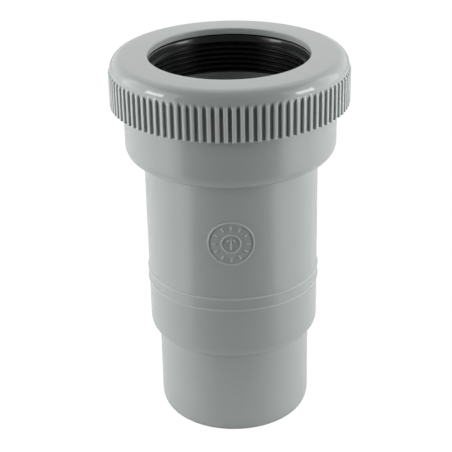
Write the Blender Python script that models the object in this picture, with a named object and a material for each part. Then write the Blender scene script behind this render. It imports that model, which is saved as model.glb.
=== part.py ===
"""Expansion joint for plastic waste pipe: a moulded body with a plain spigot below, a long
sleeve in which the upper pipe slides, and a head closed by a knurled screw cap that holds a
rubber lip seal. The spigot's end face stands at height zero and the pipe axis is +Z."""

import math

import bmesh
import bpy

MM = 0.001

# Spigot, which goes into the socket of the pipe below
SPIGOT_DIAMETER = 40.0 * MM
SPIGOT_WALL = 3.0 * MM
SPIGOT_LENGTH = 23.5 * MM
SPIGOT_END_ROUND = 3.2 * MM
SPIGOT_END_DEPTH = 2.0 * MM
SPIGOT_BORE_CHAMFER = 0.3 * MM

# Sleeve, in which the upper pipe slides as it grows and shrinks
PIPE_CLEARANCE = 0.4 * MM
SLEEVE_WALL = 1.9 * MM
SLEEVE_LENGTH = 49.6 * MM
SHOULDER_ROUND = 3.7 * MM
STOP_FLOOR = 3.2 * MM

# Two raised beads around the sleeve
BEAD_HEIGHT = 0.4 * MM
BEAD_WIDTH = 1.0 * MM
BEAD_SPACING = 3.2 * MM
LOWER_BEAD_RISE = 14.9 * MM

# Head and neck, one moulding with the sleeve
HEAD_ROUND = 3.4 * MM
HEAD_FLOOR = 2.0 * MM
SEAT_RISE = 14.3 * MM
NECK_WALL = 1.5 * MM
NECK_CHAMFER = 0.4 * MM

# Screw thread between neck and cap, one start, right hand; it fades over part of a turn
THREAD_DEPTH = 0.85 * MM
THREAD_PITCH = 3.0 * MM
THREAD_BASE = 1.5 * MM
THREAD_CREST = 0.7 * MM
THREAD_FADE = 0.12
THREAD_START = math.radians(2.0)

# Rubber lip seal, seated on the inner tube and pressed by the cap's lid
SEAL_WIDTH = 3.9 * MM
SEAL_HEIGHT = 9.7 * MM
SEAL_CHAMFER = 0.4 * MM
LAND_HEIGHT = 1.6 * MM
LAND_INSET = 0.2 * MM
LIP_COUNT = 6
LIP_PITCH = 1.34 * MM
LIP_THICKNESS = 1.0 * MM
LIP_HEIGHT = 1.0 * MM
FIRST_LIP_DROP = 2.4 * MM

# Knurled screw cap
LID_THICKNESS = 1.6 * MM
LID_EDGE_ROUND = 0.3 * MM
RETAINING_RIM_HEIGHT = 1.0 * MM
RETAINING_RIM_WIDTH = 0.9 * MM
RIM_TO_NECK = 0.5 * MM
CAP_HEIGHT = 12.25 * MM
SKIRT_WALL = 2.5 * MM
SKIRT_OVERLAP = 1.2 * MM
DOME_RADIUS = 2.9 * MM
DOME_STEP = 0.1 * MM
RIB_COUNT = 96
RIB_DEPTH = 0.5 * MM
RIB_SHARE = 0.48
RIB_DRAFT = 0.08 * MM
RIB_TIP = 0.5 * MM
GROOVE_RUNOUT = 1.3 * MM
RIB_PHASE = math.radians(1.65)

# Gaps between pieces
CONTACT_GAP = 0.3 * MM
THREAD_CLEARANCE = 0.35 * MM
JOIN_DEPTH = 0.3 * MM

# Facets round the smooth turned pieces
COLUMNS = 40
ARC_STEPS = 4
SHARP_ANGLE = math.radians(35.0)

# Radii, worked outwards from the pipe
spigot_radius = SPIGOT_DIAMETER / 2.0
spigot_bore_radius = spigot_radius - SPIGOT_WALL
bore_radius = spigot_radius + PIPE_CLEARANCE
sleeve_radius = bore_radius + SLEEVE_WALL
seal_radius = bore_radius + SEAL_WIDTH
neck_bore_radius = seal_radius + CONTACT_GAP
neck_root_radius = neck_bore_radius + NECK_WALL
head_radius = neck_root_radius + THREAD_DEPTH
skirt_bore_radius = head_radius + THREAD_CLEARANCE
groove_floor_radius = skirt_bore_radius + SKIRT_WALL
dome_side_radius = groove_floor_radius + DOME_STEP
rib_radius = groove_floor_radius + RIB_DEPTH

# Heights, worked upwards from the spigot's end
shoulder_z = SPIGOT_LENGTH
stop_z = shoulder_z + STOP_FLOOR
head_z = shoulder_z + SLEEVE_LENGTH
seat_z = head_z + SEAT_RISE
seal_z = seat_z + CONTACT_GAP
lid_z = seal_z + SEAL_HEIGHT + CONTACT_GAP
cap_top_z = lid_z + LID_THICKNESS
skirt_z = cap_top_z - CAP_HEIGHT
neck_z = skirt_z + SKIRT_OVERLAP
neck_top_z = lid_z - RETAINING_RIM_HEIGHT - RIM_TO_NECK

# Middle of each thread ridge where it starts and where it ends
neck_thread_z = neck_z + THREAD_BASE / 2.0 + THREAD_CLEARANCE
neck_thread_turns = (neck_top_z - NECK_CHAMFER - THREAD_BASE / 2.0 - neck_thread_z) / THREAD_PITCH
cap_thread_turns = (neck_top_z - neck_thread_z) / THREAD_PITCH


def arc(centre_r, centre_z, radius_r, radius_z, start, end, steps=ARC_STEPS):
    """Points of an elliptical arc in the (radius, height) plane, angles in degrees."""
    points = []
    for step in range(steps + 1):
        angle = math.radians(start + (end - start) * step / steps)
        points.append((centre_r + radius_r * math.cos(angle), centre_z + radius_z * math.sin(angle)))
    return points


def make_material(name, color, roughness):
    material = bpy.data.materials.new(name)
    material.use_nodes = True
    shader = material.node_tree.nodes["Principled BSDF"]
    shader.inputs["Base Color"].default_value = (*color, 1.0)
    shader.inputs["Roughness"].default_value = roughness
    shader.inputs["Metallic"].default_value = 0.0
    return material


def add_object(name, mesh, material, height):
    """Put a mesh on the pipe axis at a height, smooth round and sharp at its edges."""
    mesh.materials.append(material)
    mesh.shade_smooth()
    mesh.set_sharp_from_angle(angle=SHARP_ANGLE)
    piece = bpy.data.objects.new(name, mesh)
    piece.location = (0.0, 0.0, height)
    piece.parent = pipe_axis
    bpy.context.scene.collection.objects.link(piece)
    return piece


def revolve(name, outline, columns, start_angle=0.0):
    """Turn a closed outline of (radius, height) points a full circle about the pipe axis."""
    bm = bmesh.new()
    across, along = math.cos(start_angle), math.sin(start_angle)
    verts = [bm.verts.new((r * across, r * along, z)) for r, z in outline]
    edges = [bm.edges.new((verts[i - 1], verts[i])) for i in range(len(verts))]
    bmesh.ops.spin(
        bm, geom=verts + edges, cent=(0.0, 0.0, 0.0), axis=(0.0, 0.0, 1.0),
        angle=math.tau, steps=columns, use_merge=True)
    bmesh.ops.recalc_face_normals(bm, faces=bm.faces)
    mesh = bpy.data.meshes.new(name)
    bm.to_mesh(mesh)
    bm.free()
    return mesh


def underside(inner_radius, outer_radius, level, rounding):
    """A ledge seen from below: flat where there is room, then rounded up into the outer wall."""
    step = outer_radius - inner_radius
    reach = min(step, rounding)
    meet = math.acos(1.0 - reach / rounding)
    centre_z = level + rounding * math.sin(meet)
    points = arc(outer_radius - rounding, centre_z, rounding, rounding, -math.degrees(meet), 0)
    if reach < step:
        points.insert(0, (inner_radius, level))
    return points


def bead(rise):
    """A low raised bead on the sleeve, its middle at a height above the shoulder."""
    middle = shoulder_z + rise
    half = BEAD_WIDTH / 2.0
    crown = half / 2.0
    return [
        (sleeve_radius, middle - half),
        (sleeve_radius + BEAD_HEIGHT, middle - crown),
        (sleeve_radius + BEAD_HEIGHT, middle + crown),
        (sleeve_radius, middle + half)]


def body_outline():
    """The moulding's section: up the outside, over the neck and down the two bores."""
    end_radius = spigot_radius - SPIGOT_END_DEPTH
    outline = arc(end_radius, SPIGOT_END_ROUND, SPIGOT_END_DEPTH, SPIGOT_END_ROUND, -90, 0)
    outline += underside(spigot_radius, sleeve_radius, shoulder_z, SHOULDER_ROUND)
    outline += bead(LOWER_BEAD_RISE)
    outline += bead(LOWER_BEAD_RISE + BEAD_SPACING)
    outline += underside(sleeve_radius, head_radius, head_z, HEAD_ROUND)
    outline += [
        (head_radius, neck_z),
        (neck_root_radius, neck_z),
        (neck_root_radius, neck_top_z - NECK_CHAMFER),
        (neck_root_radius - NECK_CHAMFER, neck_top_z),
        (neck_bore_radius, neck_top_z),
        (neck_bore_radius, head_z + HEAD_FLOOR),
        (sleeve_radius, head_z + HEAD_FLOOR),
        (sleeve_radius, seat_z),
        (bore_radius, seat_z),
        (bore_radius, stop_z),
        (spigot_bore_radius, stop_z),
        (spigot_bore_radius, SPIGOT_BORE_CHAMFER),
        (spigot_bore_radius + SPIGOT_BORE_CHAMFER, 0.0)]
    return outline


def seal_outline():
    """The seal's section: plain back, a smooth land under the lid, then a run of lips."""
    root_radius = bore_radius
    outline = [
        (root_radius, 0.0),
        (seal_radius - SEAL_CHAMFER, 0.0),
        (seal_radius, SEAL_CHAMFER),
        (seal_radius, SEAL_HEIGHT - SEAL_CHAMFER),
        (seal_radius - SEAL_CHAMFER, SEAL_HEIGHT),
        (root_radius, SEAL_HEIGHT),
        (root_radius - LAND_INSET, SEAL_HEIGHT - LAND_INSET),
        (root_radius - 2.0 * LAND_INSET, SEAL_HEIGHT - LAND_HEIGHT)]
    for lip in range(LIP_COUNT):
        crest_z = SEAL_HEIGHT - FIRST_LIP_DROP - LIP_PITCH * lip
        outline += [
            (root_radius, crest_z + LIP_THICKNESS / 2.0),
            (root_radius - LIP_HEIGHT, crest_z),
            (root_radius, crest_z - LIP_THICKNESS / 2.0)]
    return outline


def cap_blank_outline():
    """The cap's outer form and its mouth, from the skirt's lower edge at height zero."""
    dome_z = CAP_HEIGHT - DOME_RADIUS
    outline = [
        (bore_radius, 0.0),
        (rib_radius, 0.0),
        (rib_radius, dome_z - RIB_TIP)]
    outline += arc(dome_side_radius - DOME_RADIUS, dome_z, DOME_RADIUS, DOME_RADIUS, 0, 90)
    outline += [
        (bore_radius + LID_EDGE_ROUND, CAP_HEIGHT),
        (bore_radius, CAP_HEIGHT - LID_EDGE_ROUND)]
    return outline


def cap_hollow_outline():
    """The room under the lid, round the rim that holds the seal's edge, and open below."""
    under_lid = CAP_HEIGHT - LID_THICKNESS
    rim_bottom = under_lid - RETAINING_RIM_HEIGHT
    rim_radius = neck_bore_radius + RETAINING_RIM_WIDTH
    # The cutter reaches below the skirt and in past the mouth by a wall's thickness
    below = -SKIRT_WALL
    within = bore_radius - SKIRT_WALL
    return [
        (within, below),
        (skirt_bore_radius, below),
        (skirt_bore_radius, under_lid),
        (rim_radius, under_lid),
        (rim_radius, rim_bottom),
        (neck_bore_radius, rim_bottom),
        (neck_bore_radius, under_lid),
        (within, under_lid)]


def knurl_cutter():
    """One wedge for each groove between the ribs, open below, with a sloping upper end."""
    pitch = math.tau / RIB_COUNT
    half_floor = (1.0 - RIB_SHARE) * pitch / 2.0 - RIB_DRAFT / rib_radius
    half_mouth = (1.0 - RIB_SHARE) * pitch / 2.0 + RIB_DRAFT / rib_radius
    # The wedge reaches out past the ribs by their own depth, its flanks drawn on to there
    beyond = rib_radius + RIB_DEPTH
    half_beyond = 2.0 * half_mouth - half_floor
    dome_z = CAP_HEIGHT - DOME_RADIUS
    floor_top = dome_z - GROOVE_RUNOUT
    slope = GROOVE_RUNOUT / DOME_STEP
    outer_top = floor_top + (beyond - groove_floor_radius) * slope
    bm = bmesh.new()
    for groove in range(RIB_COUNT):
        middle = (groove + 0.5) * pitch - math.pi / 2.0
        corners = []
        for radius, half, top in (
                (groove_floor_radius, half_floor, floor_top),
                (beyond, half_beyond, outer_top)):
            for side in (-1.0, 1.0):
                angle = middle + side * half
                for height in (-RIB_DEPTH, top):
                    corners.append(bm.verts.new((radius * math.cos(angle), radius * math.sin(angle), height)))
        for face in ((0, 1, 3, 2), (4, 6, 7, 5), (0, 4, 5, 1), (2, 3, 7, 6), (0, 2, 6, 4), (1, 5, 7, 3)):
            bm.faces.new([corners[i] for i in face])
    bmesh.ops.recalc_face_normals(bm, faces=bm.faces)
    mesh = bpy.data.meshes.new("knurl_cutter")
    bm.to_mesh(mesh)
    bm.free()
    return mesh


def thread_ridge(name, wall_radius, inward, start_z, turns, columns):
    """A helical ridge on a round wall, sunk into the wall at its foot, that fades at both ends."""
    towards_crest = -1.0 if inward else 1.0
    foot_radius = wall_radius - towards_crest * JOIN_DEPTH
    flank = (THREAD_BASE - THREAD_CREST) / 2.0 / THREAD_DEPTH
    foot_half = THREAD_BASE / 2.0 + JOIN_DEPTH * flank
    stations = round(turns * columns)
    fade = THREAD_FADE * columns
    bm = bmesh.new()
    rings = []
    for station in range(stations + 1):
        angle = math.tau * station / columns
        middle = start_z + THREAD_PITCH * station / columns
        share = min(1.0, station / fade, (stations - station) / fade)
        depth = share * (THREAD_DEPTH + JOIN_DEPTH / 2.0) - JOIN_DEPTH / 2.0
        crest_radius = wall_radius + towards_crest * depth
        crest_half = THREAD_BASE / 2.0 - depth * flank
        section = (
            (foot_radius, -foot_half), (crest_radius, -crest_half),
            (crest_radius, crest_half), (foot_radius, foot_half))
        rings.append([
            bm.verts.new((radius * math.cos(angle), radius * math.sin(angle), middle + rise))
            for radius, rise in section])
    for below, above in zip(rings, rings[1:]):
        for side in range(4):
            bm.faces.new((below[side - 1], below[side], above[side], above[side - 1]))
    bm.faces.new(rings[0])
    bm.faces.new(rings[-1])
    bmesh.ops.recalc_face_normals(bm, faces=bm.faces)
    mesh = bpy.data.meshes.new(name)
    bm.to_mesh(mesh)
    bm.free()
    return mesh


def combine(piece, name, mesh, operation, turn):
    """Cut a mesh from a piece or join it on, as an exact Boolean with a hidden helper."""
    helper = bpy.data.objects.new(name, mesh)
    helper.location = piece.location
    helper.rotation_euler = (0.0, 0.0, turn)
    helper.parent = pipe_axis
    helper.hide_render = True
    helper.display_type = "WIRE"
    bpy.context.scene.collection.objects.link(helper)
    boolean = piece.modifiers.new(name, "BOOLEAN")
    boolean.operation = operation
    boolean.solver = "EXACT"
    boolean.object = helper


for old in list(bpy.data.objects):
    bpy.data.objects.remove(old, do_unlink=True)

pipe_axis = bpy.data.objects.new("pipe_axis", None)
bpy.context.scene.collection.objects.link(pipe_axis)

grey_body = make_material("grey_moulded_body", (0.46, 0.50, 0.49), 0.35)
grey_cap = make_material("grey_moulded_cap", (0.48, 0.52, 0.51), 0.32)
black_rubber = make_material("black_rubber", (0.02, 0.02, 0.02), 0.6)

body = add_object("sleeve_body", revolve("sleeve_body", body_outline(), COLUMNS), grey_body, 0.0)
neck_thread = thread_ridge("neck_thread", neck_root_radius, False, neck_thread_z, neck_thread_turns, COLUMNS)
combine(body, "neck_thread", neck_thread, "UNION", THREAD_START)

seal = add_object("lip_seal", revolve("lip_seal", seal_outline(), COLUMNS), black_rubber, seal_z)

# The cap's facets meet in the middle of its grooves, so that each rib has one clean face
groove_angle = RIB_PHASE + math.pi / RIB_COUNT - math.pi / 2.0
cap_blank = revolve("screw_cap", cap_blank_outline(), RIB_COUNT, groove_angle)
cap = add_object("screw_cap", cap_blank, grey_cap, skirt_z)
combine(cap, "cap_hollow", revolve("cap_hollow", cap_hollow_outline(), COLUMNS), "DIFFERENCE", 0.0)
combine(cap, "knurl_grooves", knurl_cutter(), "DIFFERENCE", RIB_PHASE)
# Half a turn round and half a pitch up, the cap's ridge lies midway between the neck's
cap_thread = thread_ridge(
    "cap_thread", skirt_bore_radius, True, neck_thread_z - skirt_z, cap_thread_turns, COLUMNS)
combine(cap, "cap_thread", cap_thread, "UNION", THREAD_START + math.pi)
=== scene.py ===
import math

import bmesh
import bpy
from mathutils import Matrix, Vector


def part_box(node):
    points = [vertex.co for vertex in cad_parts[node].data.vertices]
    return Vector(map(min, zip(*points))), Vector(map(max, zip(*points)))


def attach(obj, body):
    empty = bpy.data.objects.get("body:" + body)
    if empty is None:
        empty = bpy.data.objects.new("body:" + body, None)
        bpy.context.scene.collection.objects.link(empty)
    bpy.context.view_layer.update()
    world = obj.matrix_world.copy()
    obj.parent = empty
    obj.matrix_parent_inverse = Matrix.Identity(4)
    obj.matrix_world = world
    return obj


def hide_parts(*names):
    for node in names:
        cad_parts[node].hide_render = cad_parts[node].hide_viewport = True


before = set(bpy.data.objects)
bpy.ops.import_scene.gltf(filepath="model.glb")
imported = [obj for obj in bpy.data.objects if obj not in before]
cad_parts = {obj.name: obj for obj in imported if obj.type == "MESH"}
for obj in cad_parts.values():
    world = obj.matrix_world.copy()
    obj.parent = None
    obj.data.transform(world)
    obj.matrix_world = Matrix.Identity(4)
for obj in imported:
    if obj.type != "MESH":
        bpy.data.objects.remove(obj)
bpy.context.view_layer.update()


# The camera stands in front of the joint, a little above the rim of its cap, and looks down
# on it with a long lens, as a catalogue photographer's does.
MM = 0.001
CAMERA_DISTANCE = 312.8 * MM
CAMERA_HEIGHT = 200.4 * MM
CAMERA_PITCH = 0.4441
CAMERA_YAW = -0.0053
CAMERA_ROLL = -0.0206
SENSOR_WIDTH = 36.0
FOCAL_LENGTH = 104.54

ahead = Vector((
    math.sin(CAMERA_YAW) * math.cos(CAMERA_PITCH),
    math.cos(CAMERA_YAW) * math.cos(CAMERA_PITCH),
    -math.sin(CAMERA_PITCH)))
level_right = Vector((math.cos(CAMERA_YAW), -math.sin(CAMERA_YAW), 0.0))
level_up = level_right.cross(ahead)
right = math.cos(CAMERA_ROLL) * level_right + math.sin(CAMERA_ROLL) * level_up
up = math.cos(CAMERA_ROLL) * level_up - math.sin(CAMERA_ROLL) * level_right

lens = bpy.data.cameras.new("catalogue_camera")
lens.sensor_width = SENSOR_WIDTH
lens.lens = FOCAL_LENGTH
camera = bpy.data.objects.new("catalogue_camera", lens)
bpy.context.scene.collection.objects.link(camera)
camera.matrix_world = (
    Matrix.Translation((0.0, -CAMERA_DISTANCE, CAMERA_HEIGHT))
    @ Matrix((right, up, -ahead)).transposed().to_4x4())
bpy.context.scene.camera = camera


# The body is one injection moulding in grey PVC: spigot, shoulder, long sleeve with two fine
# beads, head and threaded neck. All its walls are turned about the pipe axis, and the edges
# are the small radii that a mould's steel leaves.
BODY_COLUMNS = 288
SPIGOT_RADIUS = 20.0 * MM
SPIGOT_BORE_RADIUS = 17.0 * MM
SPIGOT_END_DEPTH = 2.0 * MM
SPIGOT_END_ROUND = 3.2 * MM
BORE_RADIUS = 20.4 * MM
SLEEVE_RADIUS = 22.3 * MM
SHOULDER_HEIGHT = 23.5 * MM
SHOULDER_ROUND = 3.7 * MM
SHOULDER_FOOT_ROUND = 0.3 * MM
STOP_HEIGHT = 26.7 * MM
BEAD_HEIGHTS = (38.4 * MM, 41.6 * MM)
BEAD_PROUD = 0.3 * MM
BEAD_FOOT_HALF = 0.32 * MM
BEAD_TOP_HALF = 0.14 * MM
BEAD_ROUND = 0.1 * MM
HEAD_HEIGHT = 73.1 * MM
HEAD_ROUND = 3.4 * MM
HEAD_FOOT_ROUND = 0.35 * MM
HEAD_FLOOR = 2.0 * MM
SEAT_HEIGHT = 87.4 * MM
NECK_HEIGHT = 88.25 * MM
NECK_RADIUS = 26.1 * MM
NECK_BORE_RADIUS = 24.6 * MM
MOULD_EDGE = 0.25 * MM

body_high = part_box("sleeve_body")[1]
head_radius = body_high.x
neck_top = body_high.z


def arc(centre_r, centre_z, radius_r, radius_z, start, end, steps):
    """Points of an elliptical arc in the (radius, height) plane, angles in degrees."""
    angles = [math.radians(start + (end - start) * i / steps) for i in range(steps + 1)]
    return [(centre_r + radius_r * math.cos(a), centre_z + radius_z * math.sin(a)) for a in angles]


def rounded(corners, steps=5):
    """A closed outline through (radius, height, rounding) corners, each turned by a small arc."""
    outline = []
    for i, (r, z, rounding) in enumerate(corners):
        here = Vector((r, z))
        if not rounding:
            outline.append((r, z))
            continue
        before = Vector(corners[i - 1][:2]) - here
        after = Vector(corners[(i + 1) % len(corners)][:2]) - here
        half = before.angle(after) / 2.0
        room = 0.48 * min(before.length, after.length)
        reach = min(rounding / math.tan(half), room)
        inwards = (before.normalized() + after.normalized()).normalized()
        centre = here + inwards * reach / math.cos(half)
        first = here + before.normalized() * reach - centre
        last = here + after.normalized() * reach - centre
        sweep = first.angle_signed(last)
        for step in range(steps + 1):
            spoke = first.copy()
            spoke.rotate(Matrix.Rotation(-sweep * step / steps, 2))
            outline.append(tuple(centre + spoke))
    return outline


def turned(outline, columns):
    """A closed outline turned a full circle about the pipe axis, as a bmesh."""
    bm = bmesh.new()
    verts = [bm.verts.new((r, 0.0, z)) for r, z in outline]
    edges = [bm.edges.new((verts[i - 1], verts[i])) for i in range(len(verts))]
    bmesh.ops.spin(
        bm, geom=verts + edges, cent=(0.0, 0.0, 0.0), axis=(0.0, 0.0, 1.0),
        angle=math.tau, steps=columns, use_merge=True)
    bmesh.ops.recalc_face_normals(bm, faces=bm.faces)
    return bm


def finish_piece(name, bm, material, body, node):
    """Turn a bmesh into the piece that stands for a CAD node and moves with its body."""
    mesh = bpy.data.meshes.new(name)
    bm.to_mesh(mesh)
    bm.free()
    mesh.materials.append(material)
    mesh.shade_smooth()
    mesh.set_sharp_from_angle(angle=math.radians(40.0))
    piece = bpy.data.objects.new(name, mesh)
    bpy.context.scene.collection.objects.link(piece)
    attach(piece, body)
    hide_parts(node)


def plain(points):
    """Points of a curve as corners that need no rounding."""
    return [(r, z, 0.0) for r, z in points]


spigot_end = arc(
    SPIGOT_RADIUS - SPIGOT_END_DEPTH, SPIGOT_END_ROUND,
    SPIGOT_END_DEPTH, SPIGOT_END_ROUND, -90, 0, 10)
shoulder_meet = math.acos(1.0 - (SLEEVE_RADIUS - SPIGOT_RADIUS) / SHOULDER_ROUND)
shoulder = arc(
    SLEEVE_RADIUS - SHOULDER_ROUND, SHOULDER_HEIGHT + SHOULDER_ROUND * math.sin(shoulder_meet),
    SHOULDER_ROUND, SHOULDER_ROUND, -math.degrees(shoulder_meet), 0, 14)
body_corners = plain(spigot_end)
body_corners.append((*shoulder[0], SHOULDER_FOOT_ROUND))
body_corners += plain(shoulder[1:])
for bead_height in BEAD_HEIGHTS:
    body_corners += [
        (SLEEVE_RADIUS, bead_height - BEAD_FOOT_HALF, BEAD_ROUND),
        (SLEEVE_RADIUS + BEAD_PROUD, bead_height - BEAD_TOP_HALF, BEAD_ROUND),
        (SLEEVE_RADIUS + BEAD_PROUD, bead_height + BEAD_TOP_HALF, BEAD_ROUND),
        (SLEEVE_RADIUS, bead_height + BEAD_FOOT_HALF, BEAD_ROUND)]
body_corners.append((SLEEVE_RADIUS, HEAD_HEIGHT, HEAD_FOOT_ROUND))
body_corners += plain(arc(
    head_radius - HEAD_ROUND, HEAD_HEIGHT + HEAD_ROUND, HEAD_ROUND, HEAD_ROUND, -90, 0, 16))
body_corners += [
    (head_radius, NECK_HEIGHT, MOULD_EDGE),
    (NECK_RADIUS, NECK_HEIGHT, MOULD_EDGE),
    (NECK_RADIUS, neck_top, 2.0 * MOULD_EDGE),
    (NECK_BORE_RADIUS, neck_top, MOULD_EDGE),
    (NECK_BORE_RADIUS, HEAD_HEIGHT + HEAD_FLOOR, 3.0 * MOULD_EDGE),
    (SLEEVE_RADIUS, HEAD_HEIGHT + HEAD_FLOOR, 3.0 * MOULD_EDGE),
    (SLEEVE_RADIUS, SEAT_HEIGHT, MOULD_EDGE),
    (BORE_RADIUS, SEAT_HEIGHT, MOULD_EDGE),
    (BORE_RADIUS, STOP_HEIGHT, MOULD_EDGE),
    (SPIGOT_BORE_RADIUS, STOP_HEIGHT, MOULD_EDGE),
    (SPIGOT_BORE_RADIUS, 0.0, 2.0 * MOULD_EDGE)]
body_bm = turned(rounded(body_corners), BODY_COLUMNS)

# The screw thread between neck and cap, one start, right hand
THREAD_DEPTH = 0.85 * MM
THREAD_PITCH = 3.0 * MM
THREAD_BASE = 1.5 * MM
THREAD_CREST = 0.7 * MM
THREAD_EDGE = 0.15 * MM
THREAD_SUNK = 0.3 * MM
THREAD_COLUMNS = 144
THREAD_FADE = 0.12
THREAD_ANGLE = math.radians(2.0)
THREAD_HEIGHT = 89.35 * MM
NECK_THREAD_TURNS = 1.9


def screw_ridge(bm, wall_radius, rise, turns, start_angle):
    """A helical ridge on a round wall, outwards or inwards by its rise, that fades at both ends."""
    outwards = math.copysign(1.0, rise)
    flank = (THREAD_BASE - THREAD_CREST) / 2.0 / abs(rise)
    stations = round(turns * THREAD_COLUMNS)
    sections = []
    for station in range(stations + 1):
        angle = start_angle + math.tau * station / THREAD_COLUMNS
        middle = THREAD_HEIGHT + THREAD_PITCH * station / THREAD_COLUMNS
        to_end = min(station, stations - station)
        share = min(1.0, to_end / (THREAD_FADE * THREAD_COLUMNS))
        high = share * (abs(rise) + THREAD_SUNK / 2.0) - THREAD_SUNK / 2.0
        foot_half = THREAD_BASE / 2.0 + THREAD_SUNK * flank
        crest_half = THREAD_BASE / 2.0 - high * flank
        section = rounded([
            (-THREAD_SUNK, -foot_half, 0.0), (high, -crest_half, THREAD_EDGE),
            (high, crest_half, THREAD_EDGE), (-THREAD_SUNK, foot_half, 0.0)], steps=3)
        sections.append([
            bm.verts.new((
                (wall_radius + outwards * lift) * math.cos(angle),
                (wall_radius + outwards * lift) * math.sin(angle),
                middle + along))
            for lift, along in section])
    for one, other in zip(sections, sections[1:]):
        for i in range(len(one)):
            bm.faces.new((one[i - 1], one[i], other[i], other[i - 1]))
    bm.faces.new(sections[0])
    bm.faces.new(reversed(sections[-1]))
    bmesh.ops.recalc_face_normals(bm, faces=bm.faces)


screw_ridge(body_bm, NECK_RADIUS, THREAD_DEPTH, NECK_THREAD_TURNS, THREAD_ANGLE)

# Group of nodes for moulded plastic: faint clouds in the colour and the roughness, and the
# orange peel that the mould's polish leaves, as a height.
skin = bpy.data.node_groups.new("moulded_skin", "ShaderNodeTree")
for socket, kind in (("Colour", "NodeSocketColor"), ("Clouding", "NodeSocketFloat"),
                     ("Peel Scale", "NodeSocketFloat"), ("Roughness", "NodeSocketFloat")):
    skin.interface.new_socket(socket, in_out="INPUT", socket_type=kind)
for socket, kind in (("Colour", "NodeSocketColor"), ("Roughness", "NodeSocketFloat"),
                     ("Height", "NodeSocketFloat")):
    skin.interface.new_socket(socket, in_out="OUTPUT", socket_type=kind)
skin_in = skin.nodes.new("NodeGroupInput")
skin_out = skin.nodes.new("NodeGroupOutput")
place = skin.nodes.new("ShaderNodeTexCoord")
clouds = skin.nodes.new("ShaderNodeTexNoise")
clouds.inputs["Scale"].default_value = 70.0
clouds.inputs["Detail"].default_value = 3.0
skin.links.new(place.outputs["Object"], clouds.inputs["Vector"])
peel = skin.nodes.new("ShaderNodeTexNoise")
peel.inputs["Detail"].default_value = 2.0
skin.links.new(place.outputs["Object"], peel.inputs["Vector"])
skin.links.new(skin_in.outputs["Peel Scale"], peel.inputs["Scale"])
spread = skin.nodes.new("ShaderNodeMath")
spread.operation = "SUBTRACT"
spread.inputs[1].default_value = 0.5
skin.links.new(clouds.outputs["Fac"], spread.inputs[0])
shade = skin.nodes.new("ShaderNodeMath")
shade.operation = "MULTIPLY_ADD"
shade.inputs[2].default_value = 1.0
skin.links.new(spread.outputs[0], shade.inputs[0])
skin.links.new(skin_in.outputs["Clouding"], shade.inputs[1])
tinted = skin.nodes.new("ShaderNodeVectorMath")
tinted.operation = "SCALE"
skin.links.new(skin_in.outputs["Colour"], tinted.inputs[0])
skin.links.new(shade.outputs[0], tinted.inputs["Scale"])
skin.links.new(tinted.outputs["Vector"], skin_out.inputs["Colour"])
uneven = skin.nodes.new("ShaderNodeMath")
uneven.operation = "MULTIPLY_ADD"
uneven.inputs[1].default_value = 0.12
skin.links.new(spread.outputs[0], uneven.inputs[0])
skin.links.new(skin_in.outputs["Roughness"], uneven.inputs[2])
skin.links.new(uneven.outputs[0], skin_out.inputs["Roughness"])
skin.links.new(peel.outputs["Fac"], skin_out.inputs["Height"])


def moulded_plastic(name, colour, roughness, peel_depth):
    """Grey PVC as it leaves the mould, with a soft gloss."""
    material = bpy.data.materials.new(name)
    material.use_nodes = True
    nodes, links = material.node_tree.nodes, material.node_tree.links
    shader = nodes["Principled BSDF"]
    shader.inputs["IOR"].default_value = 1.53
    surface = nodes.new("ShaderNodeGroup")
    surface.node_tree = skin
    surface.inputs["Colour"].default_value = (*colour, 1.0)
    surface.inputs["Clouding"].default_value = 0.05
    surface.inputs["Peel Scale"].default_value = 900.0
    surface.inputs["Roughness"].default_value = roughness
    bump = nodes.new("ShaderNodeBump")
    bump.inputs["Strength"].default_value = 1.0
    bump.inputs["Distance"].default_value = peel_depth
    links.new(surface.outputs["Colour"], shader.inputs["Base Color"])
    links.new(surface.outputs["Roughness"], shader.inputs["Roughness"])
    links.new(surface.outputs["Height"], bump.inputs["Height"])
    links.new(bump.outputs["Normal"], shader.inputs["Normal"])
    return material


body_plastic = moulded_plastic("grey_body_plastic", (0.455, 0.487, 0.480), 0.22, 0.004 * MM)

# Group of nodes for a point's place on a turned piece: its distance from the pipe axis and
# its height.
axis_place = bpy.data.node_groups.new("axis_place", "ShaderNodeTree")
for socket in ("Distance", "Height"):
    axis_place.interface.new_socket(socket, in_out="OUTPUT", socket_type="NodeSocketFloat")
axis_out = axis_place.nodes.new("NodeGroupOutput")
point = axis_place.nodes.new("ShaderNodeTexCoord")
flat_point = axis_place.nodes.new("ShaderNodeVectorMath")
flat_point.operation = "MULTIPLY"
flat_point.inputs[1].default_value = (1.0, 1.0, 0.0)
axis_place.links.new(point.outputs["Object"], flat_point.inputs[0])
from_axis = axis_place.nodes.new("ShaderNodeVectorMath")
from_axis.operation = "LENGTH"
axis_place.links.new(flat_point.outputs["Vector"], from_axis.inputs[0])
axis_place.links.new(from_axis.outputs["Value"], axis_out.inputs["Distance"])
split_point = axis_place.nodes.new("ShaderNodeSeparateXYZ")
axis_place.links.new(point.outputs["Object"], split_point.inputs[0])
axis_place.links.new(split_point.outputs["Z"], axis_out.inputs["Height"])


def tone_colour(material, surface, tone):
    """Make a material's base colour its surface colour times a tone that changes over it."""
    nodes, links = material.node_tree.nodes, material.node_tree.links
    toned = nodes.new("ShaderNodeVectorMath")
    toned.operation = "SCALE"
    links.new(surface.outputs["Colour"], toned.inputs[0])
    links.new(tone, toned.inputs["Scale"])
    links.new(toned.outputs["Vector"], nodes["Principled BSDF"].inputs["Base Color"])


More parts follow.
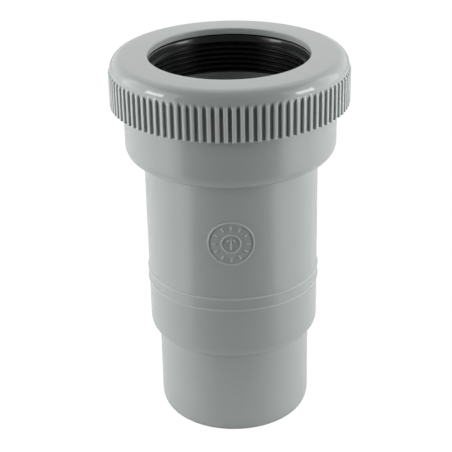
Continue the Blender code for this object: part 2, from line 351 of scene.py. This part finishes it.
# The sleeve's raised lines were spark-cut in the mould and are duller; their colour is also made a
# little lighter, a painted highlight for the light they catch
RAISED_START = 0.06 * MM
RAISED_FULL = 0.18 * MM
RAISED_TOP = 70.0 * MM
RAISED_DULL = 0.3
RAISED_PAINTED_HIGHLIGHT = 1.25
body_nodes, body_links = body_plastic.node_tree.nodes, body_plastic.node_tree.links
body_shader = body_nodes["Principled BSDF"]
body_surface = body_shader.inputs["Base Color"].links[0].from_node
body_place = body_nodes.new("ShaderNodeGroup")
body_place.node_tree = axis_place
proud = body_nodes.new("ShaderNodeMapRange")
proud.inputs["From Min"].default_value = SLEEVE_RADIUS + RAISED_START
proud.inputs["From Max"].default_value = SLEEVE_RADIUS + RAISED_FULL
body_links.new(body_place.outputs["Distance"], proud.inputs["Value"])
below_head = body_nodes.new("ShaderNodeMath")
below_head.operation = "LESS_THAN"
below_head.inputs[1].default_value = RAISED_TOP
body_links.new(body_place.outputs["Height"], below_head.inputs[0])
raised = body_nodes.new("ShaderNodeMath")
raised.operation = "MULTIPLY"
body_links.new(proud.outputs[0], raised.inputs[0])
body_links.new(below_head.outputs[0], raised.inputs[1])
duller = body_nodes.new("ShaderNodeMath")
duller.operation = "MULTIPLY_ADD"
duller.inputs[1].default_value = RAISED_DULL
body_links.new(raised.outputs[0], duller.inputs[0])
body_links.new(body_surface.outputs["Roughness"], duller.inputs[2])
body_links.new(duller.outputs[0], body_shader.inputs["Roughness"])
# Painted highlight: the raised lines' colour is made lighter, standing in for the light caught on
# their slopes.
raised_highlight_tone = body_nodes.new("ShaderNodeMath")
raised_highlight_tone.operation = "MULTIPLY_ADD"
raised_highlight_tone.inputs[1].default_value = RAISED_PAINTED_HIGHLIGHT - 1.0
raised_highlight_tone.inputs[2].default_value = 1.0
body_links.new(raised.outputs[0], raised_highlight_tone.inputs[0])
tone_colour(body_plastic, body_surface, raised_highlight_tone.outputs[0])


# A mould date dial stands up from the front of the sleeve: two thin rings, twelve ticks and an
# arrow, cut into the mould's steel and so raised on the part by about a quarter of a millimetre.
DIAL_HEIGHT = 57.2 * MM
DIAL_TURN = math.radians(-1.0)
DIAL_RADIUS = 5.75 * MM
DIAL_PROUD = 0.28 * MM
DIAL_SUNK = 0.06 * MM
DIAL_LINE = 0.5 * MM
DIAL_TOP_SHARE = 0.28
DIAL_INNER_SHARE = 0.42
DIAL_INNER_LINE = DIAL_LINE * 0.85
DIAL_BARB_LINE = DIAL_LINE * 0.9
RING_STEPS = 120
TICK_COUNT = 12
TICK_SHARES = (0.66, 0.72, 0.78, 0.84)
SHAFT_SHARES = (-0.26, -0.1, 0.1, 0.26)
BARB_TIP_SHARE = 0.27
BARB_SHARES = (0.07, 0.12, 0.17)


def on_sleeve(across, along, lift):
    """A point of the dial, measured along the sleeve's wall from the dial's middle."""
    angle = DIAL_TURN + across / SLEEVE_RADIUS
    radius = SLEEVE_RADIUS + lift
    return (radius * math.sin(angle), -radius * math.cos(angle), DIAL_HEIGHT + along)


def raised_line(bm, path, width, closed):
    """A low ridge with sloping sides along a path of (across, along) points on the sleeve."""
    levels = (
        (-0.5, -DIAL_SUNK), (-0.5, 0.0), (-DIAL_TOP_SHARE, DIAL_PROUD),
        (DIAL_TOP_SHARE, DIAL_PROUD), (0.5, 0.0), (0.5, -DIAL_SUNK))
    count = len(path)
    sections = []
    for i, point in enumerate(path):
        before = path[i - 1] if closed or i > 0 else point
        after = path[(i + 1) % count] if closed or i < count - 1 else point
        along = (after - before).normalized()
        side = Vector((-along.y, along.x))
        sections.append([
            bm.verts.new(on_sleeve(*(point + side * width * share), lift))
            for share, lift in levels])
    pairs = list(zip(sections, sections[1:]))
    if closed:
        pairs.append((sections[-1], sections[0]))
    for one, other in pairs:
        for i in range(len(levels)):
            bm.faces.new((one[i - 1], one[i], other[i], other[i - 1]))
    if not closed:
        bm.faces.new(sections[0])
        bm.faces.new(reversed(sections[-1]))


dial_bm = bmesh.new()
ring = [
    Vector((math.cos(math.tau * i / RING_STEPS), math.sin(math.tau * i / RING_STEPS)))
    for i in range(RING_STEPS)]
outer_ring = [spoke * DIAL_RADIUS for spoke in ring]
inner_ring = [spoke * DIAL_RADIUS * DIAL_INNER_SHARE for spoke in ring]
raised_line(dial_bm, outer_ring, DIAL_LINE, True)
raised_line(dial_bm, inner_ring, DIAL_INNER_LINE, True)
for tick in range(TICK_COUNT):
    turn = math.tau * tick / TICK_COUNT
    out = Vector((math.sin(turn), math.cos(turn)))
    raised_line(dial_bm, [out * DIAL_RADIUS * share for share in TICK_SHARES], DIAL_LINE, False)
shaft = [Vector((0.0, DIAL_RADIUS * share)) for share in SHAFT_SHARES]
raised_line(dial_bm, shaft, DIAL_LINE, False)
for side in (-1.0, 1.0):
    barb = [
        Vector((side * DIAL_RADIUS * share, DIAL_RADIUS * (BARB_TIP_SHARE - share)))
        for share in BARB_SHARES]
    raised_line(dial_bm, barb, DIAL_BARB_LINE, False)
bmesh.ops.recalc_face_normals(dial_bm, faces=dial_bm.faces)
dial_mesh = bpy.data.meshes.new("date_dial")
dial_bm.to_mesh(dial_mesh)
dial_bm.free()
body_bm.from_mesh(dial_mesh)
bpy.data.meshes.remove(dial_mesh)

finish_piece("moulded_body", body_bm, body_plastic, "body", "sleeve_body")


# The seal is one ring of soft black rubber, pressed in the neck by the cap's lid. Below a smooth
# land, whose colour is made a little lighter as a painted reflection, it has six thin lips that
# wipe the pipe.
SEAL_COLUMNS = 256
LAND_DEPTH = 1.6 * MM
LAND_PAINTED_SHEEN = 9.0
LAND_BLUR = 0.1 * MM
LIP_COUNT = 6
LIP_PITCH = 1.34 * MM
FIRST_LIP_DROP = 2.4 * MM
LIP_CREST_RADIUS = 19.42 * MM
LIP_ROOT_RADIUS = 20.35 * MM
LIP_HALF = 0.3 * MM
LIP_ROOT_ROUND = 0.16 * MM
LIP_CREST_ROUND = 0.05 * MM
LAND_TOP_PROUD = 0.1 * MM
LAND_FOOT_PROUD = 0.4 * MM

seal_low, seal_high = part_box("lip_seal")
seal_radius = seal_high.x
seal_corners = [
    (LIP_ROOT_RADIUS, seal_low.z, 0.2 * MM),
    (seal_radius, seal_low.z, 0.4 * MM),
    (seal_radius, seal_high.z, 0.4 * MM),
    (BORE_RADIUS - LAND_TOP_PROUD, seal_high.z, 0.35 * MM),
    (BORE_RADIUS - LAND_FOOT_PROUD, seal_high.z - LAND_DEPTH, 0.2 * MM)]
for lip in range(LIP_COUNT):
    crest = seal_high.z - FIRST_LIP_DROP - lip * LIP_PITCH
    seal_corners += [
        (LIP_ROOT_RADIUS, crest + LIP_HALF, LIP_ROOT_ROUND),
        (LIP_CREST_RADIUS, crest, LIP_CREST_ROUND),
        (LIP_ROOT_RADIUS, crest - LIP_HALF, LIP_ROOT_ROUND)]
seal_bm = turned(rounded(seal_corners), SEAL_COLUMNS)

rubber = bpy.data.materials.new("black_seal_rubber")
rubber.use_nodes = True
rubber_nodes, rubber_links = rubber.node_tree.nodes, rubber.node_tree.links
rubber_shader = rubber_nodes["Principled BSDF"]
rubber_skin = rubber_nodes.new("ShaderNodeGroup")
rubber_skin.node_tree = skin
rubber_skin.inputs["Colour"].default_value = (0.0035, 0.0037, 0.0037, 1.0)
rubber_skin.inputs["Clouding"].default_value = 0.5
rubber_skin.inputs["Peel Scale"].default_value = 2600.0
rubber_skin.inputs["Roughness"].default_value = 0.16
rubber_bump = rubber_nodes.new("ShaderNodeBump")
rubber_bump.inputs["Distance"].default_value = 0.004 * MM
rubber_place = rubber_nodes.new("ShaderNodeGroup")
rubber_place.node_tree = axis_place
# Painted reflection: the land's colour is made lighter by height, standing in for the light its
# upward slope reflects.
land_painted_sheen = rubber_nodes.new("ShaderNodeMapRange")
land_painted_sheen.inputs["From Min"].default_value = seal_high.z - LAND_DEPTH - LAND_BLUR
land_painted_sheen.inputs["From Max"].default_value = seal_high.z - LAND_DEPTH + LAND_BLUR
land_painted_sheen.inputs["To Min"].default_value = 1.0
land_painted_sheen.inputs["To Max"].default_value = LAND_PAINTED_SHEEN
rubber_links.new(rubber_place.outputs["Height"], land_painted_sheen.inputs["Value"])
tone_colour(rubber, rubber_skin, land_painted_sheen.outputs[0])
rubber_links.new(rubber_skin.outputs["Roughness"], rubber_shader.inputs["Roughness"])
rubber_links.new(rubber_skin.outputs["Height"], rubber_bump.inputs["Height"])
rubber_links.new(rubber_bump.outputs["Normal"], rubber_shader.inputs["Normal"])

finish_piece("rubber_lip_seal", seal_bm, rubber, "seal", "lip_seal")


# The screw cap is a second moulding in the same PVC: a flat lid with a wide mouth, a rounded
# shoulder, and a skirt with 96 upright gripping ribs whose tips run out on the shoulder.
RIB_COUNT = 96
RIB_PHASE = math.radians(1.65)
GROOVE_RADIUS = 29.65 * MM
RIB_HALF_TOP = 0.47 * MM
RIB_HALF_FOOT = 0.52 * MM
RIB_EDGE_ROUND = 0.25 * MM
RIB_FOOT_ROUND = 0.06 * MM
SHOULDER_SIDE_RADIUS = 29.88 * MM
DOME_RADIUS = 2.9 * MM
SKIRT_BORE_RADIUS = 27.3 * MM
LID_THICKNESS = 1.6 * MM
RIM_DEPTH = 1.0 * MM
RIM_WIDTH = 0.9 * MM
SKIRT_EDGE = 0.12 * MM
SKIRT_LEAD = 0.6 * MM
MOUTH_FLAT = 0.8 * MM
GROOVE_END = 7.85 * MM
RIB_END = 9.25 * MM
TIP_STEPS = 9
TIP_START = 0.35
INNER_COLUMNS = 2

cap_low, cap_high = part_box("screw_cap")
rib_radius = cap_high.x
cap_height = cap_high.z - cap_low.z
rib_depth = rib_radius - GROOVE_RADIUS
pitch = math.tau / RIB_COUNT
# Half a rib and half a groove in plan: way round the wall and height above the groove's floor
half_rib = rounded([
    (0.0, rib_depth, 0.0),
    (RIB_HALF_TOP, rib_depth, RIB_EDGE_ROUND),
    (RIB_HALF_FOOT, 0.0, RIB_FOOT_ROUND),
    (rib_radius * pitch / 2.0, 0.0, 0.0)], steps=3)
columns = [(-across, high) for across, high in reversed(half_rib[1:-1])] + half_rib
cap_angles = []
cap_shares = []
for rib in range(RIB_COUNT):
    for across, high in columns:
        cap_angles.append(RIB_PHASE - math.pi / 2.0 + rib * pitch + across / rib_radius)
        cap_shares.append(high / rib_depth)


def smooth_step(value):
    """Ease from 0 to 1 as the value goes from 0 to 1."""
    value = min(1.0, max(0.0, value))
    return value * value * (3.0 - 2.0 * value)


# Rows of the ribbed wall: (groove radius, rib radius, height above the skirt's edge)
rows = [
    (GROOVE_RADIUS - SKIRT_EDGE, rib_radius - SKIRT_EDGE, 0.0),
    (GROOVE_RADIUS - 0.3 * SKIRT_EDGE, rib_radius - 0.3 * SKIRT_EDGE, 0.3 * SKIRT_EDGE),
    (GROOVE_RADIUS, rib_radius, SKIRT_EDGE),
    (GROOVE_RADIUS, rib_radius, GROOVE_END)]
dome_height = cap_height - DOME_RADIUS
for step in range(1, TIP_STEPS + 1):
    share = step / TIP_STEPS
    height = GROOVE_END + (RIB_END - GROOVE_END) * share
    rise = math.sin(share * math.pi / 2.0)
    fall = smooth_step((share - TIP_START) / (1.0 - TIP_START))
    groove = GROOVE_RADIUS + (SHOULDER_SIDE_RADIUS - GROOVE_RADIUS) * rise
    tip = rib_radius - (rib_radius - SHOULDER_SIDE_RADIUS) * fall
    rows.append((groove, tip, height))
dome = arc(
    SHOULDER_SIDE_RADIUS - DOME_RADIUS, dome_height, DOME_RADIUS, DOME_RADIUS, 6, 90, 16)
rows += [(r, r, z) for r, z in dome]

cap_bm = bmesh.new()


def wall_ring(angles, radii, height):
    """A ring of the cap's vertices at a height above the skirt's edge."""
    return [
        cap_bm.verts.new((radius * math.cos(angle), radius * math.sin(angle), cap_low.z + height))
        for angle, radius in zip(angles, radii)]


def join_rings(lower, upper):
    """Faces between two rings of as many points."""
    for i in range(len(lower)):
        cap_bm.faces.new((lower[i - 1], lower[i], upper[i], upper[i - 1]))


def join_coarse(fine, coarse):
    """Faces on a flat ring between a fine circle and one with fewer points."""
    group = len(fine) // len(coarse)
    for i in range(len(coarse)):
        run = [fine[(i * group + k) % len(fine)] for k in range(group + 1)]
        cap_bm.faces.new(run + [coarse[(i + 1) % len(coarse)], coarse[i]])


outer_rings = []
for groove, tip, height in rows:
    radii = [groove + (tip - groove) * high for high in cap_shares]
    outer_rings.append(wall_ring(cap_angles, radii, height))
for lower, upper in zip(outer_rings, outer_rings[1:]):
    join_rings(lower, upper)

inner_step = len(columns) // INNER_COLUMNS
inner_angles = cap_angles[::inner_step]
lid = cap_height - LID_THICKNESS
inner_corners = [
    (SKIRT_BORE_RADIUS + SKIRT_LEAD, 0.0, 0.0),
    (SKIRT_BORE_RADIUS, 0.0, 0.3 * MM),
    (SKIRT_BORE_RADIUS, lid, 0.5 * MM),
    (NECK_BORE_RADIUS + RIM_WIDTH, lid, 0.15 * MM),
    (NECK_BORE_RADIUS + RIM_WIDTH, lid - RIM_DEPTH, 0.2 * MM),
    (NECK_BORE_RADIUS, lid - RIM_DEPTH, 0.2 * MM),
    (NECK_BORE_RADIUS, lid, 0.15 * MM),
    (BORE_RADIUS, lid, 0.15 * MM),
    (BORE_RADIUS, cap_height, 0.28 * MM),
    (BORE_RADIUS + MOUTH_FLAT, cap_height, 0.0)]
inner_rings = [
    wall_ring(inner_angles, [r] * len(inner_angles), z) for r, z in rounded(inner_corners)]
for lower, upper in zip(inner_rings, inner_rings[1:]):
    join_rings(upper, lower)
join_coarse(outer_rings[0], inner_rings[0])
join_coarse(outer_rings[-1], inner_rings[-1])
bmesh.ops.recalc_face_normals(cap_bm, faces=cap_bm.faces)

# Begun half a turn further round at the same height, the cap's ridge lies midway between the
# neck's.
CAP_THREAD_TURNS = 2.283
screw_ridge(cap_bm, SKIRT_BORE_RADIUS, -THREAD_DEPTH, CAP_THREAD_TURNS, THREAD_ANGLE + math.pi)

cap_plastic = moulded_plastic("grey_cap_plastic", (0.475, 0.507, 0.500), 0.06, 0.003 * MM)

# The tops of the ribs are painted lighter, a painted highlight, and the foot of each groove darker,
# painted shade in the recess
RIB_PAINTED_HIGHLIGHT = 1.3
GROOVE_PAINTED_SHADE = 0.6
TONE_MARGIN = 0.05 * MM
cap_nodes, cap_links = cap_plastic.node_tree.nodes, cap_plastic.node_tree.links
cap_surface = cap_nodes["Principled BSDF"].inputs["Base Color"].links[0].from_node
cap_place = cap_nodes.new("ShaderNodeGroup")
cap_place.node_tree = axis_place
# Painted shade: the groove feet's colour is darkened, standing in for shade in the recesses.
groove_shade_tone = cap_nodes.new("ShaderNodeMapRange")
groove_shade_tone.inputs["From Min"].default_value = GROOVE_RADIUS + TONE_MARGIN
groove_shade_tone.inputs["From Max"].default_value = SHOULDER_SIDE_RADIUS
groove_shade_tone.inputs["To Min"].default_value = GROOVE_PAINTED_SHADE
groove_shade_tone.inputs["To Max"].default_value = 1.0
cap_links.new(cap_place.outputs["Distance"], groove_shade_tone.inputs["Value"])
# Painted highlight: the rib tops' colour is made lighter, standing in for light caught on their
# edges.
rib_highlight_tone = cap_nodes.new("ShaderNodeMapRange")
rib_highlight_tone.inputs["From Min"].default_value = rib_radius - RIB_EDGE_ROUND
rib_highlight_tone.inputs["From Max"].default_value = rib_radius - TONE_MARGIN
rib_highlight_tone.inputs["To Min"].default_value = 1.0
rib_highlight_tone.inputs["To Max"].default_value = RIB_PAINTED_HIGHLIGHT
cap_links.new(cap_place.outputs["Distance"], rib_highlight_tone.inputs["Value"])
knurl_light_tone = cap_nodes.new("ShaderNodeMath")
knurl_light_tone.operation = "MULTIPLY"
cap_links.new(groove_shade_tone.outputs[0], knurl_light_tone.inputs[0])
cap_links.new(rib_highlight_tone.outputs[0], knurl_light_tone.inputs[1])
on_ribs = cap_nodes.new("ShaderNodeMath")
on_ribs.operation = "LESS_THAN"
on_ribs.inputs[1].default_value = cap_low.z + RIB_END
cap_links.new(cap_place.outputs["Height"], on_ribs.inputs[0])
knurl_light_mix = cap_nodes.new("ShaderNodeMix")
knurl_light_mix.inputs[2].default_value = 1.0
cap_links.new(on_ribs.outputs[0], knurl_light_mix.inputs[0])
cap_links.new(knurl_light_tone.outputs[0], knurl_light_mix.inputs[3])
tone_colour(cap_plastic, cap_surface, knurl_light_mix.outputs[0])

finish_piece("knurled_screw_cap", cap_bm, cap_plastic, "cap", "screw_cap")


# The floor is a wide sheet of white paper, to the camera nearly its own white. Out of the camera's
# view lie a card in front of the joint, its colour painted light and shade, pale close to it and
# black further out, and on each side a white sheet that glows on its own as painted light; the
# glossy walls mirror the edge between them.
FLOOR_SIZE = 6.0
PAPER_GLOW = 0.93
PAPER_LEVEL = 1.05
PAPER_DROP = 0.02 * MM
CARD_NEAR = 0.04
CARD_FAR = 1.6
CARD_SPREAD = math.tan(math.radians(51.0))
CARD_NEAR_PAINTED_LIGHT = 0.6
CARD_FAR_PAINTED_SHADE = 0.03
CARD_FADE = 0.17
SHEET_FAR = 0.5
SHEET_SPREAD = math.tan(math.radians(76.0))
SHEET_PAINTED_GLOW = 0.42
SHEET_HEIGHT = 0.5 * MM


def flat_sheet(name, corners, height):
    """A flat sheet on or just over the floor, through (x, y) corners."""
    mesh = bpy.data.meshes.new(name)
    mesh.from_pydata([(x, y, 0.0) for x, y in corners], [], [tuple(range(len(corners)))])
    sheet = bpy.data.objects.new(name, mesh)
    sheet.location.z = height
    bpy.context.scene.collection.objects.link(sheet)
    return sheet


half = FLOOR_SIZE / 2.0
floor = flat_sheet(
    "paper_floor", ((-half, -half), (half, -half), (half, half), (-half, half)), -PAPER_DROP)
paper = bpy.data.materials.new("white_paper")
paper.use_nodes = True
paper_nodes, paper_links = paper.node_tree.nodes, paper.node_tree.links
paper_nodes["Principled BSDF"].inputs["Base Color"].default_value = (0.9, 0.9, 0.9, 1.0)
paper_nodes["Principled BSDF"].inputs["Roughness"].default_value = 0.9
glow = paper_nodes.new("ShaderNodeEmission")
glow.inputs["Strength"].default_value = PAPER_LEVEL
seen = paper_nodes.new("ShaderNodeLightPath")
share_seen = paper_nodes.new("ShaderNodeMath")
share_seen.operation = "MULTIPLY"
share_seen.inputs[1].default_value = PAPER_GLOW
blend = paper_nodes.new("ShaderNodeMixShader")
paper_links.new(seen.outputs["Is Camera Ray"], share_seen.inputs[0])
paper_links.new(share_seen.outputs[0], blend.inputs[0])
paper_links.new(paper_nodes["Principled BSDF"].outputs[0], blend.inputs[1])
paper_links.new(glow.outputs[0], blend.inputs[2])
paper_links.new(blend.outputs[0], paper_nodes["Material Output"].inputs["Surface"])
floor.data.materials.append(paper)

near, far = CARD_NEAR, CARD_FAR
card = flat_sheet("front_card", (
    (-near * CARD_SPREAD, -near), (near * CARD_SPREAD, -near),
    (far * CARD_SPREAD, -far), (-far * CARD_SPREAD, -far)), SHEET_HEIGHT)
card.visible_camera = False
shade_card_material = bpy.data.materials.new("painted_shade_card")
shade_card_material.use_nodes = True
shade_card_nodes, shade_card_links = shade_card_material.node_tree.nodes, shade_card_material.node_tree.links
shade_card_nodes["Principled BSDF"].inputs["Roughness"].default_value = 0.95
shade_card_place = shade_card_nodes.new("ShaderNodeTexCoord")
shade_card_reach = shade_card_nodes.new("ShaderNodeVectorMath")
shade_card_reach.operation = "LENGTH"
shade_card_links.new(shade_card_place.outputs["Object"], shade_card_reach.inputs[0])
# Painted light and shade: the card's colour fades from pale near the joint to black further out,
# standing in for the dark front of the studio.
shade_card_fade = shade_card_nodes.new("ShaderNodeMapRange")
shade_card_fade.inputs["From Min"].default_value = CARD_NEAR
shade_card_fade.inputs["From Max"].default_value = CARD_FADE
shade_card_fade.inputs["To Min"].default_value = CARD_NEAR_PAINTED_LIGHT
shade_card_fade.inputs["To Max"].default_value = CARD_FAR_PAINTED_SHADE
shade_card_links.new(shade_card_reach.outputs["Value"], shade_card_fade.inputs["Value"])
shade_card_links.new(shade_card_fade.outputs[0], shade_card_nodes["Principled BSDF"].inputs["Base Color"])
card.data.materials.append(shade_card_material)

# Painted light: these sheets glow on their own, standing in for the floor lit by the side panels.
painted_glow_sheet = bpy.data.materials.new("painted_glow_white_sheet")
painted_glow_sheet.use_nodes = True
painted_glow_shader = painted_glow_sheet.node_tree.nodes["Principled BSDF"]
painted_glow_shader.inputs["Base Color"].default_value = (0.9, 0.9, 0.9, 1.0)
painted_glow_shader.inputs["Emission Color"].default_value = (1.0, 1.0, 1.0, 1.0)
painted_glow_shader.inputs["Emission Strength"].default_value = SHEET_PAINTED_GLOW
for side in (-1.0, 1.0):
    sheet = flat_sheet("painted_glow_sheet", (
        (side * near * CARD_SPREAD, -near),
        (side * SHEET_FAR * CARD_SPREAD, -SHEET_FAR),
        (side * SHEET_FAR * SHEET_SPREAD, -SHEET_FAR),
        (side * near * SHEET_SPREAD, -near)), SHEET_HEIGHT)
    sheet.visible_camera = False
    sheet.data.materials.append(painted_glow_sheet)


# Soft light comes from a tall panel on each side, a small bright box in front of each and a
# white backdrop. The front stays dark, so the round walls are pale at their edges and darker
# in the middle. The left panel reaches a little further round to the front.
PANEL_LEVEL = 1.45
BOX_LEVEL = 6.6
FRONT_LEVEL = 0.01
BACK_LEVEL = 1.05
BACK_START = 0.0
BACK_FULL = 0.5
aim = Vector((0.0, 0.0, 60.0 * MM))


def panel(name, turn, distance, height, width, tall, brightness):
    """A soft rectangular lamp that faces the joint; its brightness is the radiance of its face."""
    lamp = bpy.data.lights.new(name, "AREA")
    lamp.shape = "RECTANGLE"
    lamp.size = width
    lamp.size_y = tall
    lamp.energy = brightness * math.pi * width * tall
    holder = bpy.data.objects.new(name, lamp)
    angle = math.radians(turn)
    holder.location = (distance * math.sin(angle), -distance * math.cos(angle), height)
    holder.rotation_euler = (aim - holder.location).to_track_quat("-Z", "Y").to_euler()
    bpy.context.scene.collection.objects.link(holder)


for name, turn in (("left_panel", -84.0), ("right_panel", 88.0)):
    panel(name, turn, distance=0.60, height=0.22, width=0.80, tall=0.76, brightness=PANEL_LEVEL)
for turn in (-72.0, 72.0):
    panel(
        "side_box", turn, distance=0.50, height=0.175, width=0.17, tall=0.19,
        brightness=BOX_LEVEL)

world = bpy.data.worlds.new("studio")
bpy.context.scene.world = world
world.use_nodes = True
sky_nodes, sky_links = world.node_tree.nodes, world.node_tree.links
background = sky_nodes["Background"]
background.inputs["Color"].default_value = (1.0, 1.0, 1.0, 1.0)
direction = sky_nodes.new("ShaderNodeTexCoord")
depth = sky_nodes.new("ShaderNodeSeparateXYZ")
sky_links.new(direction.outputs["Generated"], depth.inputs[0])
backdrop = sky_nodes.new("ShaderNodeMapRange")
backdrop.interpolation_type = "SMOOTHSTEP"
backdrop.inputs["From Min"].default_value = BACK_START
backdrop.inputs["From Max"].default_value = BACK_FULL
backdrop.inputs["To Min"].default_value = FRONT_LEVEL
backdrop.inputs["To Max"].default_value = BACK_LEVEL
sky_links.new(depth.outputs["Y"], backdrop.inputs["Value"])
sky_seen = sky_nodes.new("ShaderNodeLightPath")
sky_level = sky_nodes.new("ShaderNodeMix")
sky_level.inputs[3].default_value = 1.0
sky_links.new(sky_seen.outputs["Is Camera Ray"], sky_level.inputs[0])
sky_links.new(backdrop.outputs[0], sky_level.inputs[2])
sky_links.new(sky_level.outputs[0], background.inputs["Strength"])

bpy.context.scene.view_settings.view_transform = "Standard"
